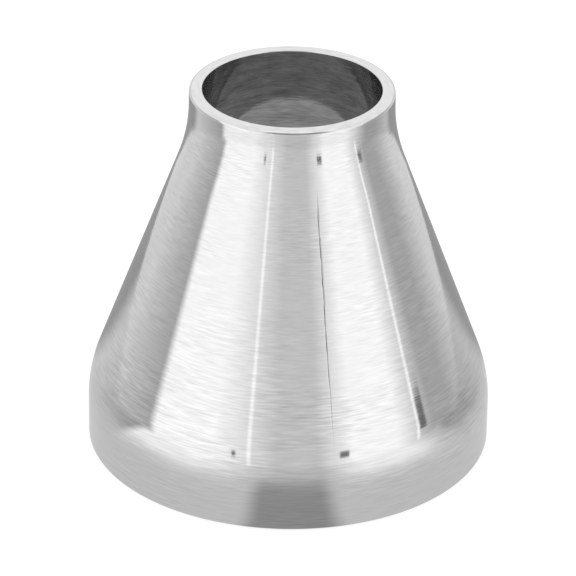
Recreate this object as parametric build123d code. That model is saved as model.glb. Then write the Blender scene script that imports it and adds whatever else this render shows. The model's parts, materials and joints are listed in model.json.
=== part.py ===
"""Concentric tube reducer for butt welding: a thin formed shell closed by one longitudinal seam weld.

Frame: millimetres, +Z up along the tube axis, origin at the centre of the large end's face.
The large end stands on Z = 0, the small end is up, and -Y is the front.
"""
from build123d import *
import math
import os

# Driving dimensions
LARGE_OD = 50.8           # 2 in tube
SMALL_OD = 25.4           # 1 in tube
WALL = 1.65               # 16 gauge
HEIGHT = 47.8             # face to face
LARGE_TANGENT = 5.0       # straight length at the large end
SMALL_TANGENT = 1.7       # straight length at the small end
LARGE_BEND = 16.5         # outer radius of the convex bend above the large tangent
SMALL_BEND = 23.0         # outer radius of the concave bend below the small tangent
LARGE_OUTER_EDGE = 0.3    # rounding of the outer edge of the large end face
SMALL_OUTER_EDGE = 0.45   # rounding of the outer edge of the small end face
INNER_EDGE = 0.15         # rounding of the inner edge of each end face
SEAM_ANGLE = 3.6          # weld metal, in degrees about the axis: it widens with the wall
SEAM_AZIMUTH = -75.3      # middle of the seam, in degrees from +X about +Z

# Derived dimensions
LARGE_RADIUS = LARGE_OD / 2
SMALL_RADIUS = SMALL_OD / 2
LARGE_BEND_CENTRE = (LARGE_RADIUS - LARGE_BEND, LARGE_TANGENT)
SMALL_BEND_CENTRE = (SMALL_RADIUS + SMALL_BEND, HEIGHT - SMALL_TANGENT)
EDGE_TOLERANCE = 1e-6


def cone_half_angle():
    """The angle, in radians, between the axis and the straight line that joins the two bends."""
    run = SMALL_BEND_CENTRE[0] - LARGE_BEND_CENTRE[0]
    rise = SMALL_BEND_CENTRE[1] - LARGE_BEND_CENTRE[1]
    between_centres = math.hypot(run, rise)
    return math.atan2(rise, run) - math.acos((LARGE_BEND + SMALL_BEND) / between_centres)


def bend_arc(centre, radius, first, last):
    """A bend about centre, from one angle to another. A negative radius gives the side facing the axis."""
    middle = (first + last) / 2
    points = [
        (centre[0] + radius * math.cos(angle), centre[1] + radius * math.sin(angle))
        for angle in (first, middle, last)
    ]
    return ThreePointArc(*points)


def wall_surface(depth):
    """The wall's outline at a depth below the outer surface: straight, bend, cone, bend, straight."""
    cone = cone_half_angle()
    lower_bend = bend_arc(LARGE_BEND_CENTRE, LARGE_BEND - depth, 0, cone)
    upper_bend = bend_arc(SMALL_BEND_CENTRE, -(SMALL_BEND + depth), cone, 0)
    return [
        Line((LARGE_RADIUS - depth, 0), lower_bend @ 0),
        lower_bend,
        Line(lower_bend @ 1, upper_bend @ 0),
        upper_bend,
        Line(upper_bend @ 1, (SMALL_RADIUS - depth, HEIGHT)),
    ]


def at_an_end(vertex):
    """True for a corner of the section that lies in one of the two end faces."""
    return abs(vertex.Y) < EDGE_TOLERANCE or abs(vertex.Y - HEIGHT) < EDGE_TOLERANCE


def wall_section():
    """The wall's section in the XZ plane, on the +X side, with its four end corners rounded."""
    outer = wall_surface(0)
    inner = wall_surface(WALL)
    large_face = Line(outer[0] @ 0, inner[0] @ 0)
    small_face = Line(outer[-1] @ 1, inner[-1] @ 1)
    section = make_face([*outer, *inner, large_face, small_face])
    for radii, rounding in (
        ((LARGE_RADIUS,), LARGE_OUTER_EDGE),
        ((SMALL_RADIUS,), SMALL_OUTER_EDGE),
        ((LARGE_RADIUS - WALL, SMALL_RADIUS - WALL), INNER_EDGE),
    ):
        corners = [
            vertex
            for vertex in section.vertices()
            if at_an_end(vertex) and any(abs(vertex.X - radius) < EDGE_TOLERANCE for radius in radii)
        ]
        section = fillet(corners, rounding)
    return Plane.XZ * section


def sweep_about_axis(section, start, angle):
    """The section turned about +Z through an angle, starting at an azimuth."""
    return Rot(Z=start) * revolve(section, Axis.Z, angle)


def reducer_shell(section):
    """The formed wall, open along one narrow slot that follows its whole length."""
    return sweep_about_axis(section, SEAM_AZIMUTH + SEAM_ANGLE / 2, 360 - SEAM_ANGLE)


def seam_weld(section):
    """The weld metal in the slot, dressed flush with the wall inside and outside."""
    return sweep_about_axis(section, SEAM_AZIMUTH - SEAM_ANGLE / 2, SEAM_ANGLE)


def main():
    section = wall_section()
    parts = {
        "reducer_shell": reducer_shell(section),
        "seam_weld": seam_weld(section),
    }
    os.makedirs("parts", exist_ok=True)
    for name, solid in parts.items():
        solid.label = name
        export_step(solid, f"parts/{name}.step")
    print(f"cone half angle {math.degrees(cone_half_angle()):.2f} degrees")


main()
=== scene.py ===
"""Looks of a polished stainless tube reducer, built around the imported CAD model.

Units are metres, +Z is up, the axis of the part is the Z axis and the camera stands on the -Y side.
Directions about the axis are in degrees to the right of the front, which is the camera's side.
The studio is a small round tent of light: a wall and a floor that only the polished steel can see.
"""
import json
import math

import bpy
from mathutils import Matrix, Vector


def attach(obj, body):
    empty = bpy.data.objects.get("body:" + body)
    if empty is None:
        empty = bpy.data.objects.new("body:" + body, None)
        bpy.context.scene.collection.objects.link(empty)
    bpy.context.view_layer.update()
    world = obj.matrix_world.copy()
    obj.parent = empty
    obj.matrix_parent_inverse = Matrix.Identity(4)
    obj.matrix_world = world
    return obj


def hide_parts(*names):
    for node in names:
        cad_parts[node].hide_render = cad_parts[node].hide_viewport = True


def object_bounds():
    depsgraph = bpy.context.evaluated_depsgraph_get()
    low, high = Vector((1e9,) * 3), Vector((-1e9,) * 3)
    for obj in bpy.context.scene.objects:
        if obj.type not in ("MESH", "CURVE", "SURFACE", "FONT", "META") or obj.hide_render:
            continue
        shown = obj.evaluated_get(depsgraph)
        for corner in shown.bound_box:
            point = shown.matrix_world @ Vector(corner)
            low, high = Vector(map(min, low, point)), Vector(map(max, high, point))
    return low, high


MM = 0.001

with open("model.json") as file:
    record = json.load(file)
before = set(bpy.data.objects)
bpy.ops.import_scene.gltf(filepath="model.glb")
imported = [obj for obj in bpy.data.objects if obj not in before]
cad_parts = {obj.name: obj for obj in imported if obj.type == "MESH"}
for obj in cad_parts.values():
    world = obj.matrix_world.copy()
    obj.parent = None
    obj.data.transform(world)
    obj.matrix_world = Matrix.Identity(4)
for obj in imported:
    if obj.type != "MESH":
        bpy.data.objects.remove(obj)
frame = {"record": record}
cad_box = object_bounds()

# The part's sizes, from the frame where it gives them. WALL is the steel's thickness.
mount_radii = {mount["name"]: mount["dims"].get("r_mm", 0) * MM for mount in frame["record"]["mounts"]}
LARGE_RADIUS = mount_radii["large_tube_od"]
SMALL_RADIUS = mount_radii["small_tube_od"]
WALL = SMALL_RADIUS - mount_radii["small_bore"]
HEIGHT = cad_box[1].z
LARGE_TANGENT = 5.0 * MM
SMALL_TANGENT = 1.7 * MM
LARGE_BEND = 16.5 * MM
SMALL_BEND = 23.0 * MM
LARGE_OUTER_EDGE = 0.3 * MM
SMALL_OUTER_EDGE = 0.45 * MM
INNER_EDGE = 0.15 * MM

# Steps of the meshes
EDGE_STEPS = 8
FACE_STEPS = 3
COLLAR_STEPS = 4
BEND_STEPS = 24
SHELL_STEPS = 396

# The seam: its left edge's direction and its width in degrees
SEAM_START = 12.9
SEAM_ANGLE = 3.6
WELD_STEPS = 8

# The fine toe line is a groove, this many degrees right of the seam's left edge. Its colour is painted dark
# as shade in the groove, and it is rougher
GROOVE_PLACE = 0.35
GROOVE_STEPS = 24
GROOVE_WIDTH = 0.20 * MM
GROOVE_DEPTH = 0.04 * MM
GROOVE_SHADE_REFLECTANCE = 0.12
GROOVE_ROUGHNESS = 0.5
# It is only where the surface's normal points away from the axis by at least this much
GROOVE_FACING = 0.5
# Waves by which it wanders, as (degrees, radians over the part's height, phase)
GROOVE_WANDER = ((0.05, 21, 1.0), (0.035, 57, 0.0))
# Its strength changes on the way up, as (shares of the part's height from and to, change)
GROOVE_CHANGES = ((0.2, 0.5, 1.3), (0.75, 0.85, -1.3))
# It breaks up about a mean strength, by waves of (share, radians over the part's height, phase)
GROOVE_MEAN = 0.72
GROOVE_BREAKS = ((0.20, 83, 0.0), (0.14, 191, 2.0))

# Polished steel
STEEL_REFLECTANCE = 0.72
WELD_SHADE = 0.99
POLISHED_ROUGHNESS = 0.08
ROUGHNESS_SPREAD = 0.05
ANISOTROPY = 0.6
QUARTER_TURN = 0.25

# Brush lines and soft patches round the axis, as (length in radians, width in metres)
FINE_LINES = (0.12, 0.16 * MM)
BROAD_LINES = (0.4, 0.9 * MM)
PATCHES = (0.5, 5.0 * MM)
# The lines follow the height plus this share of the radius, so that they also cross the end faces
RADIUS_SHARE = 0.5
# Their contrast outside is higher in a worn belt of (start, stop, blur) heights
PLAIN_CONTRAST = 0.38
WORN_CONTRAST = 0.62
WORN_BELT = (6 * MM, 19 * MM, 7 * MM)
# The patches scale it from a low to a high share as their noise goes from one value to another
PATCH_NOISE = (0.3, 0.7)
PATCH_SHARES = (0.5, 1.5)
# Height of the relief in mm: fine lines, then broad lines outside and inside
FINE_RELIEF = 0.003
BROAD_RELIEF = 0.006
INSIDE_RELIEF = 0.022

# The bore is duller than the outside, with stronger streaks. Its lower reflectance is partly that duller
# finish and partly painted shade inside the bore
INSIDE_DULL_AND_SHADED_REFLECTANCE = 0.46
INSIDE_ROUGHNESS = 0.10
INSIDE_CONTRAST = 1.9
# The surface is the bore's where the dot product of its normal and its place, over its distance from the
# axis, has fallen from the first value to the second
INSIDE_FACING = (-0.25, -0.45)
# The bore's relief is left out towards its sides: degrees from the front where it starts and is full
RELIEF_DIRECTIONS = (110.0, 140.0)

# The light tent. Its boards lean: their joints turn by this share per metre of height from their middle.
TENT_RADIUS = 115 * MM
TENT_HEIGHT = 300 * MM
BOARD_MIDDLE = 47 * MM
BOARD_LEAN = 1.5
TENT_STEPS = 256

# The plain floor that the camera sees, just under the part, and the sky
PALE_FLOOR_SIZE = 6.0
PALE_FLOOR_DROP = 0.02 * MM
PALE_FLOOR_PAINT = 0.35
PALE_FLOOR_GLOW = 0.72
SKY_LIGHT = 1.12


# ---------------------------------------------------------------- node helpers

class Tree:
    """A node tree with short calls for the nodes that this scene uses."""

    def __init__(self, owner):
        owner.use_nodes = True
        self.nodes = owner.node_tree.nodes
        self.links = owner.node_tree.links
        self.nodes.clear()

    def add(self, kind, **settings):
        node = self.nodes.new(kind)
        for key, value in settings.items():
            setattr(node, key, value)
        return node

    def feed(self, socket, value):
        """Links an output socket, or sets a plain number or colour."""
        if isinstance(value, bpy.types.NodeSocket):
            self.links.new(value, socket)
        else:
            socket.default_value = value

    def math(self, operation, first, second=0.0, third=0.0):
        """One sum on plain numbers or outputs. MULTIPLY_ADD is first times second plus third."""
        node = self.add("ShaderNodeMath", operation=operation)
        for socket, value in zip(node.inputs, (first, second, third)):
            self.feed(socket, value)
        return node.outputs[0]

    def smooth(self, value, start, stop, low=0.0, high=1.0):
        """A smooth step of value from low, at start, to high, at stop."""
        node = self.add("ShaderNodeMapRange", interpolation_type="SMOOTHSTEP")
        for socket, given in zip(node.inputs, (value, start, stop, low, high)):
            self.feed(socket, given)
        return node.outputs[0]

    def between(self, value, start, stop, blur):
        """1 where value lies between start and stop, with edges blurred over a width."""
        rise = self.smooth(value, start - blur / 2, start + blur / 2)
        fall = self.smooth(value, stop - blur / 2, stop + blur / 2, 1.0, 0.0)
        return self.math("MULTIPLY", rise, fall)

    def mix(self, factor, first, second):
        """A blend from first to second. The node's inputs 0, 2 and 3 are its plain numbers."""
        node = self.add("ShaderNodeMix", data_type="FLOAT")
        for socket, value in zip(node.inputs[:1] + node.inputs[2:4], (factor, first, second)):
            self.feed(socket, value)
        return node.outputs[0]

    def noise(self, vector):
        """Noise with one grain to each unit of the vector."""
        node = self.add("ShaderNodeTexNoise")
        self.feed(node.inputs["Vector"], vector)
        self.feed(node.inputs["Scale"], 1.0)
        return node.outputs[0]

    def vector(self, x, y, z):
        node = self.add("ShaderNodeCombineXYZ")
        for socket, value in zip(node.inputs, (x, y, z)):
            self.feed(socket, value)
        return node.outputs[0]

    def ramp(self, value, stops):
        """Linear interpolation between (place, value) stops, with places between 0 and 1."""
        node = self.add("ShaderNodeValToRGB")
        elements = node.color_ramp.elements
        while len(elements) < len(stops):
            elements.new(0.5)
        for element, (place, shade) in zip(elements, stops):
            element.position = place
            element.color = (shade, shade, shade, 1.0)
        self.feed(node.inputs[0], value)
        separate = self.add("ShaderNodeSeparateColor")
        self.links.new(node.outputs[0], separate.inputs[0])
        return separate.outputs[0]


def cylindrical(tree):
    """The shaded point's degrees right of the front, distance from the axis, and height."""
    coordinates = tree.add("ShaderNodeTexCoord")
    separate = tree.add("ShaderNodeSeparateXYZ")
    tree.links.new(coordinates.outputs["Object"], separate.inputs[0])
    x, y, z = separate.outputs
    azimuth = tree.math("DEGREES", tree.math("ARCTAN2", x, tree.math("MULTIPLY", y, -1.0)))
    radius = tree.math("SQRT", tree.math("ADD", tree.math("MULTIPLY", x, x), tree.math("MULTIPLY", y, y)))
    return azimuth, radius, z


def light_for(shade):
    """The light that polished steel turns into a display shade of 0 to 255, by the sRGB curve."""
    display = shade / 255
    linear = ((display + 0.055) / 1.055) ** 2.4
    return linear / STEEL_REFLECTANCE


def light_by_direction(tree, azimuth, stops):
    """Light by direction, from (degrees right of the front, display shade) stops."""
    turned = tree.math("DIVIDE", tree.math("ADD", azimuth, 180.0), 360.0)
    return tree.ramp(turned, [((degrees + 180) / 360, light_for(shade)) for degrees, shade in stops])


# ---------------------------------------------------------------- the light tent

# A plain studio: a white board at the left and at the right, grey between them and at the sides, and a pale
# back. Four display shades of their reflection, as (direction, shade).
WHITE, PALE, GREY, DARK = 245, 200, 190, 160
BOARDS = (
    (-180, PALE), (-120, PALE), (-80, DARK), (-75, WHITE), (-40, WHITE), (-5, GREY), (15, GREY), (35, WHITE),
    (60, WHITE), (85, DARK), (100, DARK), (130, PALE), (180, PALE),
)
# The white boards' edges as bright lines: (start, stop, blur) directions
JOINTS = ((-21.0, -19.0, 1.0), (73.0, 75.0, 0.5))
# Dark clips at the boards' feet: (start, stop, blur) directions, and the heights that they reach over
CLIPS = ((-29.0, -27.0, 1.0), (27.0, 32.0, 1.0), (75.0, 80.0, 2.0))
CLIP_HEIGHTS = (9 * MM, 18 * MM, 2 * MM)
CLIP_SHADE = 100
# Over the boards' tops it is pale, with a darker stretch of (start, stop, blur) directions at the front
BOARD_TOPS = (75 * MM, 90 * MM)
PALE_TOP = 225
DARK_TOP = 140
DARK_TOP_STRETCH = (-25.0, 35.0, 20.0)
# The floor is lit evenly near the part, and further out it takes on a share of the boards' light
EVEN_SHADE = 185
FLOOR_SHARE = 0.9
FLOOR_CHANGE = (30 * MM, 60 * MM)
# The part's own soft shadow at its front: (start, stop, blur) directions, and the distances it fades over
FRONT_SHADOW = (-12.0, 15.0, 8.0)
FRONT_FADE = (30 * MM, 60 * MM)
FRONT_SHADE = 135
# Its shadow behind it, in degrees to either side where it starts and is full
BACK_SHADOW = (120.0, 135.0)
BACK_SHADE = 140
# The floor's middle has one plain shade, out to the part's own foot
MIDDLE_SHADE = 150
MIDDLE_EDGE = (22 * MM, 25 * MM)


def glossy_only(stage_object):
    """The steel reflects this object and nothing else sees it."""
    stage_object.visible_camera = False
    stage_object.visible_diffuse = False
    stage_object.visible_shadow = False
    stage_object.visible_transmission = False


def emission_material(name, paint):
    """A light whose strength is worked out by paint(tree)."""
    material = bpy.data.materials.new(name)
    tree = Tree(material)
    emission = tree.add("ShaderNodeEmission")
    tree.feed(emission.inputs["Strength"], paint(tree))
    output = tree.add("ShaderNodeOutputMaterial")
    tree.links.new(emission.outputs[0], output.inputs["Surface"])
    material.cycles.emission_sampling = "NONE"
    return material


def paint_wall(tree):
    """The boards round the part, with bright edges and the dark clips that hold them."""
    azimuth, _, height = cylindrical(tree)
    lean = tree.math("MULTIPLY_ADD", tree.math("SUBTRACT", height, BOARD_MIDDLE), -BOARD_LEAN, 1.0)
    azimuth = tree.math("MULTIPLY", azimuth, lean)
    light = light_by_direction(tree, azimuth, BOARDS)
    for joint in JOINTS:
        light = tree.mix(tree.between(azimuth, *joint), light, light_for(WHITE))
    tall = tree.between(height, *CLIP_HEIGHTS)
    for clip in CLIPS:
        mark = tree.math("MULTIPLY", tree.between(azimuth, *clip), tall)
        light = tree.mix(mark, light, light_for(CLIP_SHADE))
    high = tree.mix(tree.between(azimuth, *DARK_TOP_STRETCH), light_for(PALE_TOP), light_for(DARK_TOP))
    return tree.mix(tree.smooth(height, *BOARD_TOPS), light, high)


def paint_floor(tree):
    """Light on the floor: even near the part and from the boards further out, with the part's own shadow."""
    azimuth, radius, _ = cylindrical(tree)
    boards = tree.math("MULTIPLY", light_by_direction(tree, azimuth, BOARDS), FLOOR_SHARE)
    light = tree.mix(tree.smooth(radius, *FLOOR_CHANGE), light_for(EVEN_SHADE), boards)
    front = tree.smooth(radius, *FRONT_FADE, 1.0, 0.0)
    front = tree.math("MULTIPLY", front, tree.between(azimuth, *FRONT_SHADOW))
    light = tree.mix(front, light, light_for(FRONT_SHADE))
    behind = tree.smooth(tree.math("ABSOLUTE", azimuth), *BACK_SHADOW)
    light = tree.mix(behind, light, light_for(BACK_SHADE))
    return tree.mix(tree.smooth(radius, *MIDDLE_EDGE), light_for(MIDDLE_SHADE), light)


def make_tent():
    bpy.ops.mesh.primitive_cylinder_add(
        vertices=TENT_STEPS, radius=TENT_RADIUS, depth=TENT_HEIGHT, end_fill_type="NOTHING"
    )
    wall = bpy.context.object
    wall.name = "tent_wall"
    wall.data.transform(Matrix.Translation((0, 0, TENT_HEIGHT / 2)))
    wall.data.materials.append(emission_material("tent_wall_light", paint_wall))
    glossy_only(wall)
    bpy.ops.mesh.primitive_circle_add(vertices=TENT_STEPS, radius=TENT_RADIUS, fill_type="NGON")
    floor = bpy.context.object
    floor.name = "tent_floor"
    floor.data.materials.append(emission_material("tent_floor_light", paint_floor))
    glossy_only(floor)


make_tent()


# ---------------------------------------------------------------- plain floor and sky

def make_floor():
    bpy.ops.mesh.primitive_plane_add(size=PALE_FLOOR_SIZE, location=(0, 0, -PALE_FLOOR_DROP))
    floor = bpy.context.object
    floor.name = "pale_floor"
    floor.visible_glossy = False
    material = bpy.data.materials.new("pale_floor_paint")
    tree = Tree(material)
    paint = tree.add("ShaderNodeBsdfDiffuse")
    tree.feed(paint.inputs["Color"], (PALE_FLOOR_PAINT, PALE_FLOOR_PAINT, PALE_FLOOR_PAINT, 1))
    glow = tree.add("ShaderNodeEmission")
    tree.feed(glow.inputs["Strength"], PALE_FLOOR_GLOW)
    both = tree.add("ShaderNodeAddShader")
    tree.links.new(paint.outputs[0], both.inputs[0])
    tree.links.new(glow.outputs[0], both.inputs[1])
    output = tree.add("ShaderNodeOutputMaterial")
    tree.links.new(both.outputs[0], output.inputs["Surface"])
    floor.data.materials.append(material)


def make_sky():
    world = bpy.data.worlds.new("studio_sky")
    bpy.context.scene.world = world
    tree = Tree(world)
    background = tree.add("ShaderNodeBackground")
    tree.feed(background.inputs["Color"], (1, 1, 1, 1))
    tree.feed(background.inputs["Strength"], SKY_LIGHT)
    output = tree.add("ShaderNodeOutputWorld")
    tree.links.new(background.outputs[0], output.inputs["Surface"])


make_floor()
make_sky()


# ---------------------------------------------------------------- the wall's section

def straight(start, end, steps):
    """Points from start up to, not including, end: (radius, height, the normal's part outward and up)."""
    run, rise = end[0] - start[0], end[1] - start[1]
    length = math.hypot(run, rise)
    normal = (rise / length, -run / length)
    return [
        (start[0] + run * step / steps, start[1] + rise * step / steps, *normal)
        for step in range(steps)
    ]


def bend(centre, radius, first, last, steps, side=1):
    """Points of an arc up to, not including, its last angle. A side of -1 turns the normals to its centre."""
    points = []
    for step in range(steps):
        angle = first + (last - first) * step / steps
        across, up = math.cos(angle), math.sin(angle)
        points.append((centre[0] + radius * across, centre[1] + radius * up, side * across, side * up))
    return points


def wall_section():
    """The wall's section, once round: up the outside, over the rim, down the inside, under the foot."""
    large_centre = (LARGE_RADIUS - LARGE_BEND, LARGE_TANGENT)
    small_centre = (SMALL_RADIUS + SMALL_BEND, HEIGHT - SMALL_TANGENT)
    run, rise = small_centre[0] - large_centre[0], small_centre[1] - large_centre[1]
    cone = math.atan2(rise, run) - math.acos((LARGE_BEND + SMALL_BEND) / math.hypot(run, rise))

    def point(centre, radius):
        """Where the cone's straight line meets a bend. The bend at the small end has a radius below 0."""
        return centre[0] + radius * math.cos(cone), centre[1] + radius * math.sin(cone)

    def corner(radius, height, rounding, first):
        """A quarter turn at a corner of an end face, from the first angle."""
        return bend((radius, height), rounding, first, first + math.pi / 2, EDGE_STEPS)

    quarter, half = math.pi / 2, math.pi
    large_bore = LARGE_RADIUS - WALL
    small_bore = SMALL_RADIUS - WALL
    small_edge = SMALL_RADIUS - SMALL_OUTER_EDGE
    inner_large, inner_small = LARGE_BEND - WALL, SMALL_BEND + WALL
    section = []
    section += straight((LARGE_RADIUS, LARGE_OUTER_EDGE), (LARGE_RADIUS, LARGE_TANGENT), steps=10)
    section += bend(large_centre, LARGE_BEND, 0, cone, BEND_STEPS)
    section += straight(point(large_centre, LARGE_BEND), point(small_centre, -SMALL_BEND), steps=36)
    section += bend(small_centre, SMALL_BEND, half + cone, half, BEND_STEPS, side=-1)
    section += straight(
        (SMALL_RADIUS, HEIGHT - SMALL_TANGENT), (SMALL_RADIUS, HEIGHT - SMALL_OUTER_EDGE), COLLAR_STEPS
    )
    section += corner(small_edge, HEIGHT - SMALL_OUTER_EDGE, SMALL_OUTER_EDGE, 0)
    section += straight((small_edge, HEIGHT), (small_bore + INNER_EDGE, HEIGHT), FACE_STEPS)
    section += corner(small_bore + INNER_EDGE, HEIGHT - INNER_EDGE, INNER_EDGE, quarter)
    section += straight((small_bore, HEIGHT - INNER_EDGE), (small_bore, HEIGHT - SMALL_TANGENT), COLLAR_STEPS)
    section += bend(small_centre, inner_small, half, half + cone, BEND_STEPS)
    section += straight(point(small_centre, -inner_small), point(large_centre, inner_large), steps=24)
    section += bend(large_centre, inner_large, cone, 0, steps=16, side=-1)
    section += straight((large_bore, LARGE_TANGENT), (large_bore, INNER_EDGE), steps=6)
    section += corner(large_bore + INNER_EDGE, INNER_EDGE, INNER_EDGE, half)
    section += straight((large_bore + INNER_EDGE, 0), (LARGE_RADIUS - LARGE_OUTER_EDGE, 0), FACE_STEPS)
    section += corner(LARGE_RADIUS - LARGE_OUTER_EDGE, LARGE_OUTER_EDGE, LARGE_OUTER_EDGE, 3 * quarter)
    return section


# ---------------------------------------------------------------- pieces

def swept_piece(name, section, directions, shape=None):
    """The section swept about the axis through the directions, which are degrees right of the front.

    shape(radius, height, outward, direction) moves a point along its normal and returns the move,
    the turn of the normal along the sweep, and the mark that the material reads.
    """
    points, normals, marks = [], [], []
    for direction in directions:
        turn = math.radians(direction)
        out = (math.sin(turn), -math.cos(turn))
        along = (math.cos(turn), math.sin(turn))
        for radius, height, across, up in section:
            move, lean, mark = shape(radius, height, across, direction) if shape else (0.0, 0.0, 0.0)
            place = radius + move * across
            points.append((place * out[0], place * out[1], height + move * up))
            normal = (across * out[0] - lean * along[0], across * out[1] - lean * along[1], up)
            normals.append(Vector(normal).normalized())
            marks.append(mark)
    count = len(section)
    faces = []
    for column in range(len(directions) - 1):
        for row in range(count):
            after = (row + 1) % count
            left, right = column * count, (column + 1) * count
            faces.append((left + row, right + row, right + after, left + after))
    last = (len(directions) - 1) * count
    faces.append(tuple(range(count)))
    faces.append(tuple(last + row for row in reversed(range(count))))
    mesh = bpy.data.meshes.new(name)
    mesh.from_pydata(points, [], faces)
    mesh.update()
    corner_normals = []
    for face in mesh.polygons:
        is_end = face.index >= len(faces) - 2
        corner_normals += [face.normal if is_end else normals[index] for index in face.vertices]
    mesh.normals_split_custom_set(corner_normals)
    mesh.attributes.new("mark", "FLOAT", "POINT").data.foreach_set("value", marks)
    piece = bpy.data.objects.new(name, mesh)
    bpy.context.scene.collection.objects.link(piece)
    return piece


def smooth_step(value, start, stop):
    """A smooth step from 0, at start, to 1, at stop."""
    share = min(1.0, max(0.0, (value - start) / (stop - start)))
    return share * share * (3 - 2 * share)


def waves(rise, parts):
    """A sum of sine waves at a share of the part's height."""
    return sum(size * math.sin(turns * rise + phase) for size, turns, phase in parts)


def groove_shape(radius, height, across, direction):
    """The fine toe line on the outside of the weld: a groove that wanders and breaks up as it goes down."""
    if across < GROOVE_FACING:
        return 0.0, 0.0, 0.0
    rise = height / HEIGHT
    strength = sum(change * smooth_step(rise, start, stop) for start, stop, change in GROOVE_CHANGES)
    strength *= GROOVE_MEAN + waves(rise, GROOVE_BREAKS)
    depth = GROOVE_DEPTH * strength
    reach = GROOVE_WIDTH / 2
    middle = SEAM_START + GROOVE_PLACE + waves(rise, GROOVE_WANDER)
    offset = math.radians(direction - middle) * radius
    share = max(0.0, 1 - abs(offset) / reach)
    lean = math.copysign(depth / reach, offset) if 0 < share < 1 else 0.0
    return -depth * share, lean, share * strength


def spread(start, stop, steps):
    """Evenly spaced values from start to stop, with both."""
    return [start + (stop - start) * step / steps for step in range(steps + 1)]


def make_pieces():
    section = wall_section()
    seam_stop = SEAM_START + SEAM_ANGLE
    groove_stop = SEAM_START + 2 * GROOVE_PLACE
    shell = swept_piece("polished_shell", section, spread(seam_stop, SEAM_START + 360, SHELL_STEPS))
    fine = spread(SEAM_START, groove_stop, GROOVE_STEPS)
    coarse = spread(groove_stop, seam_stop, WELD_STEPS)
    seam = swept_piece("dressed_seam", section, fine + coarse[1:], groove_shape)
    for piece, node, slot, material in (
        (shell, "reducer_shell", "shell_steel", steel("polished_steel", 1.0)),
        (seam, "seam_weld", "weld_steel", steel("dressed_weld", WELD_SHADE)),
    ):
        piece.data.materials.append(material)
        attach(piece, "root")
        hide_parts(node)


# ---------------------------------------------------------------- steel

def brush_lines(tree, place, lines):
    """Noise drawn out round the axis, for lines of a length in radians and a width in metres."""
    azimuth, radius, height = place
    length, width = lines
    turn = tree.math("RADIANS", azimuth)
    x = tree.math("MULTIPLY", tree.math("COSINE", turn), 1 / length)
    y = tree.math("MULTIPLY", tree.math("SINE", turn), 1 / length)
    z = tree.math("DIVIDE", tree.math("ADD", height, tree.math("MULTIPLY", radius, RADIUS_SHARE)), width)
    return tree.noise(tree.vector(x, y, z))


def inside_mask(tree, radius):
    """1 on the bore's side of the wall and 0 elsewhere, from where the surface faces."""
    geometry = tree.add("ShaderNodeNewGeometry")
    coordinates = tree.add("ShaderNodeTexCoord")
    facing = tree.add("ShaderNodeVectorMath", operation="DOT_PRODUCT")
    tree.links.new(geometry.outputs["Normal"], facing.inputs[0])
    tree.links.new(coordinates.outputs["Object"], facing.inputs[1])
    return tree.smooth(tree.math("DIVIDE", facing.outputs["Value"], radius), *INSIDE_FACING)


def plain_reflectance(tree, inside, shade):
    """The reflectance without its streaks, lower inside than outside: partly a duller finish, partly painted
    shade.
    """
    return tree.mix(inside, STEEL_REFLECTANCE * shade, INSIDE_DULL_AND_SHADED_REFLECTANCE)


def streaks(tree, place, inside, fine, broad, patches):
    """The share by which the brush lines lighten or darken the steel."""
    _, _, height = place
    contrast = tree.mix(tree.between(height, *WORN_BELT), PLAIN_CONTRAST, WORN_CONTRAST)
    contrast = tree.math("MULTIPLY", contrast, tree.smooth(patches, *PATCH_NOISE, *PATCH_SHARES))
    lines = tree.math("SUBTRACT", tree.mix(inside, fine, tree.mix(0.5, fine, broad)), 0.5)
    return tree.math("MULTIPLY", lines, tree.mix(inside, contrast, INSIDE_CONTRAST))


def steel_roughness(tree, inside, patches):
    """Roughness that changes from patch to patch outside, and is even inside."""
    least = POLISHED_ROUGHNESS - ROUGHNESS_SPREAD / 2
    outside = tree.math("ADD", tree.math("MULTIPLY", patches, ROUGHNESS_SPREAD), least)
    return tree.mix(inside, outside, INSIDE_ROUGHNESS)


def steel_relief(tree, place, inside, fine, broad):
    """The brush lines' relief as a normal. In the bore it is stronger, and left out towards the sides."""
    azimuth, _, _ = place
    broad_relief = tree.mix(inside, BROAD_RELIEF, INSIDE_RELIEF)
    relief = tree.math("MULTIPLY", broad, broad_relief)
    relief = tree.math("ADD", tree.math("MULTIPLY", fine, FINE_RELIEF), relief)
    back = tree.smooth(tree.math("ABSOLUTE", azimuth), *RELIEF_DIRECTIONS)
    relief = tree.math("MULTIPLY", relief, tree.mix(inside, 1.0, back))
    bump = tree.add("ShaderNodeBump")
    tree.feed(bump.inputs["Strength"], 1.0)
    tree.feed(bump.inputs["Distance"], MM)
    tree.feed(bump.inputs["Height"], relief)
    return bump.outputs[0]


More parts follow.
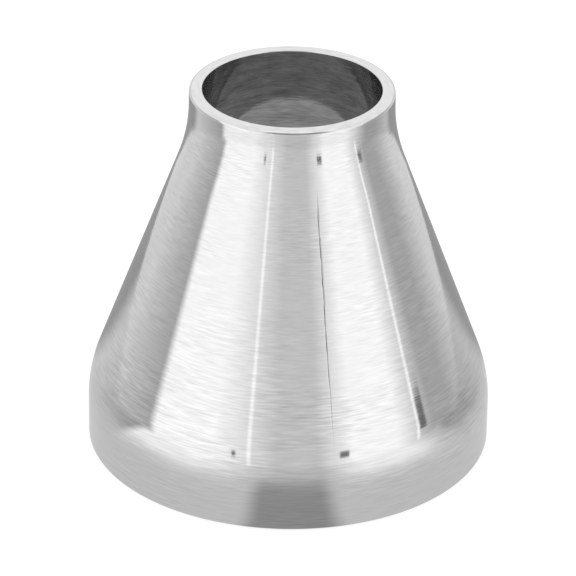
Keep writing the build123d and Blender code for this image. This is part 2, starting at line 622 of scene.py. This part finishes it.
def steel(name, shade):
    """Polished steel with fine brush lines round the axis, duller inside the bore, where it is also painted
    darker as shade.
    """
    material = bpy.data.materials.new(name)
    tree = Tree(material)
    place = cylindrical(tree)
    fine, broad, patches = (brush_lines(tree, place, lines) for lines in (FINE_LINES, BROAD_LINES, PATCHES))
    inside = inside_mask(tree, place[1])
    marks = tree.add("ShaderNodeAttribute", attribute_name="mark").outputs["Fac"]
    reflectance = plain_reflectance(tree, inside, shade)
    streaked = tree.math("ADD", streaks(tree, place, inside, fine, broad, patches), 1.0)
    reflectance = tree.math("MULTIPLY", reflectance, streaked)
    # The groove's mark paints a dark shade into the steel's colour
    reflectance = tree.mix(marks, reflectance, GROOVE_SHADE_REFLECTANCE)
    colour = tree.add("ShaderNodeCombineColor")
    for socket in colour.inputs:
        tree.feed(socket, reflectance)
    roughness = tree.mix(marks, steel_roughness(tree, inside, patches), GROOVE_ROUGHNESS)
    tangent = tree.add("ShaderNodeTangent", direction_type="RADIAL", axis="Z")
    shader = tree.add("ShaderNodeBsdfPrincipled")
    for socket_name, value in (
        ("Base Color", colour.outputs[0]),
        ("Metallic", 1.0),
        ("Roughness", roughness),
        ("Anisotropic", ANISOTROPY),
        ("Anisotropic Rotation", QUARTER_TURN),
        ("Tangent", tangent.outputs[0]),
        ("Normal", steel_relief(tree, place, inside, fine, broad)),
    ):
        tree.feed(shader.inputs[socket_name], value)
    output = tree.add("ShaderNodeOutputMaterial")
    tree.links.new(shader.outputs[0], output.inputs["Surface"])
    return material


make_pieces()


# ---------------------------------------------------------------- camera

CAMERA_ELEVATION = math.radians(27.54)
CAMERA_ROLL = math.radians(0.755)
CAMERA_DISTANCE = 510.0 * MM
AIM_HEIGHT = 23.8 * MM
SENSOR_WIDTH = 36.0
LENS = 254.3875
LEFT_SHIFT = -0.0036
UP_SHIFT = -0.0456
# Light is mirrored many times between the sides of the bore
LIGHT_BOUNCES = 24


def make_camera():
    data = bpy.data.cameras.new("camera")
    camera = bpy.data.objects.new("camera", data)
    bpy.context.scene.collection.objects.link(camera)
    camera.location = (
        0,
        -CAMERA_DISTANCE * math.cos(CAMERA_ELEVATION),
        AIM_HEIGHT + CAMERA_DISTANCE * math.sin(CAMERA_ELEVATION),
    )
    tilt = Matrix.Rotation(math.pi / 2 - CAMERA_ELEVATION, 4, "X")
    camera.rotation_euler = (tilt @ Matrix.Rotation(CAMERA_ROLL, 4, "Z")).to_euler()
    data.sensor_width = SENSOR_WIDTH
    data.lens = LENS
    data.shift_x = LEFT_SHIFT
    data.shift_y = UP_SHIFT
    bpy.context.scene.camera = camera


make_camera()
bpy.context.scene.view_settings.view_transform = "Standard"
bpy.context.scene.cycles.max_bounces = LIGHT_BOUNCES
bpy.context.scene.cycles.glossy_bounces = LIGHT_BOUNCES
